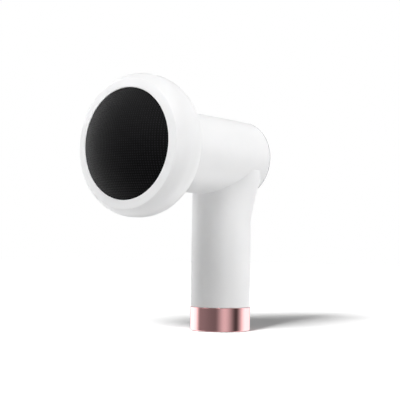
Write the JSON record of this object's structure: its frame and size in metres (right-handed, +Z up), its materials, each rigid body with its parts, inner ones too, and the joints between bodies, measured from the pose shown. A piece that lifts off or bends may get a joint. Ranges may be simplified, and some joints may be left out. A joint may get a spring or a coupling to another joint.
{
  "type": "handheld wand massager",
  "caption": "Cordless massager with a round grip that stands on its foot, a level barrel across the top and a wide round head with a domed mesh pad.",
  "frame": {"origin": "centre of the foot pad's flat underside, on the grip's axis", "axes": "+Z up along the grip's axis, -Y the way the massage pad faces along the barrel, +X across the barrel"},
  "size_m": [0.0976, 0.1424, 0.178],
  "materials": {
    "band_rose_gold": "polished, rose gold coated stainless steel",
    "bearing_steel": "ground and polished",
    "bezel_white": "satin moulded ABS",
    "board_green": "solder masked glass epoxy",
    "brush_carbon": "pressed carbon",
    "bush_bronze": "sintered bronze",
    "button_white": "gloss moulded ABS",
    "can_steel": "zinc plated deep drawn can",
    "cell_can": "sleeved steel can",
    "chip_black": "moulded epoxy",
    "contact_brass": "stamped",
    "core_steel": "stacked laminations",
    "cover_white": "satin moulded ABS",
    "foot_rubber": "moulded silicone rubber",
    "inner_black": "moulded nylon",
    "inner_natural": "moulded acetal",
    "lamp_clear": "clear epoxy",
    "lead_red": "extruded PVC sleeve",
    "light_guide": "frosted light guide",
    "magnet_ferrite": "sintered ferrite",
    "pad_foam": "open cell foam",
    "pad_mesh": "knitted polyester spacer mesh",
    "plate_aluminium": "die cast",
    "screw_steel": "zinc plated",
    "shaft_steel": "ground",
    "shell_white": "satin moulded ABS",
    "socket_steel": "drawn stainless steel",
    "strip_nickel": "nickel strip",
    "trim_chrome": "polished",
    "weight_steel": "turned steel",
    "winding_copper": "enamelled copper wire"
  },
  "bodies": {
    "housing": {"battery_cells": "cell_can", "battery_lower_cap": "inner_natural", "battery_strip": "strip_nickel", "battery_upper_cap": "inner_natural", "bearing_bracket": "inner_natural", "bearing_outer_ring": "bearing_steel", "bezel_screws": "screw_steel", "board_components": "chip_black", "board_screws": "screw_steel", "charge_board": "board_green", "charge_leads": "lead_red", "charge_socket": "socket_steel", "charge_tongue": "inner_black", "counterweight": "weight_steel", "foot_ballast": "weight_steel", "foot_band": "band_rose_gold", "foot_cap": "inner_black", "foot_pad": "foot_rubber", "foot_screws": "screw_steel", "front_bush": "bush_bronze", "head_back_cover": "cover_white", "head_bezel": "bezel_white", "light_ring": "light_guide", "main_board": "board_green", "main_housing": "shell_white", "motor_brushes": "brush_carbon", "motor_can": "can_steel", "motor_cradle": "inner_natural", "motor_end_cap": "inner_black", "motor_leads": "lead_red", "motor_magnets": "magnet_ferrite", "motor_plate": "plate_aluminium", "motor_screws": "screw_steel", "motor_terminals": "contact_brass", "neck_screws": "screw_steel", "pack_board": "board_green", "pack_board_chips": "chip_black", "pad_carrier": "inner_black", "pad_clamp_ring": "inner_black", "pad_core": "pad_foam", "pad_skin": "pad_mesh", "post_screws": "screw_steel", "power_leads": "lead_red", "rear_bush": "bush_bronze", "rear_cover": "shell_white", "rear_trim_ring": "trim_chrome", "status_lamps": "lamp_clear", "switch_body": "chip_black"},
    "rotor": {"drive_shaft": "shaft_steel", "rotor_core": "core_steel", "rotor_windings": "winding_copper", "commutator": "winding_copper", "eccentric_weight": "weight_steel", "weight_grub_screw": "screw_steel", "bearing_inner_ring": "bearing_steel"},
    "ball_set": {"bearing_balls": "bearing_steel", "bearing_cage": "inner_natural"},
    "button": {"power_button": "button_white"},
    "plunger": {"switch_plunger": "inner_natural"}
  },
  "joints": [
    {"name": "rotor_spin", "type": "hinge", "parent": "housing", "child": "rotor", "pos_m": [0, 0, 0.1292], "axis": [0, -1, 0], "continuous": true},
    {"name": "ball_set_spin", "type": "hinge", "parent": "housing", "child": "ball_set", "pos_m": [0, 0, 0.1292], "axis": [0, -1, 0], "continuous": true},
    {"name": "power_button_press", "type": "slide", "parent": "housing", "child": "button", "axis": [0, -1, 0], "range_m": [0, 0.001], "stiffness_N_per_m": 1800, "springref_m": -0.0006},
    {"name": "switch_plunger_press", "type": "slide", "parent": "housing", "child": "plunger", "axis": [0, -1, 0], "range_m": [0, 0.001]}
  ],
  "couplings": [
    {"joint": "ball_set_spin", "follows": "rotor_spin", "ratio": 0.3471},
    {"joint": "switch_plunger_press", "follows": "power_button_press", "ratio": 1}
  ]
}
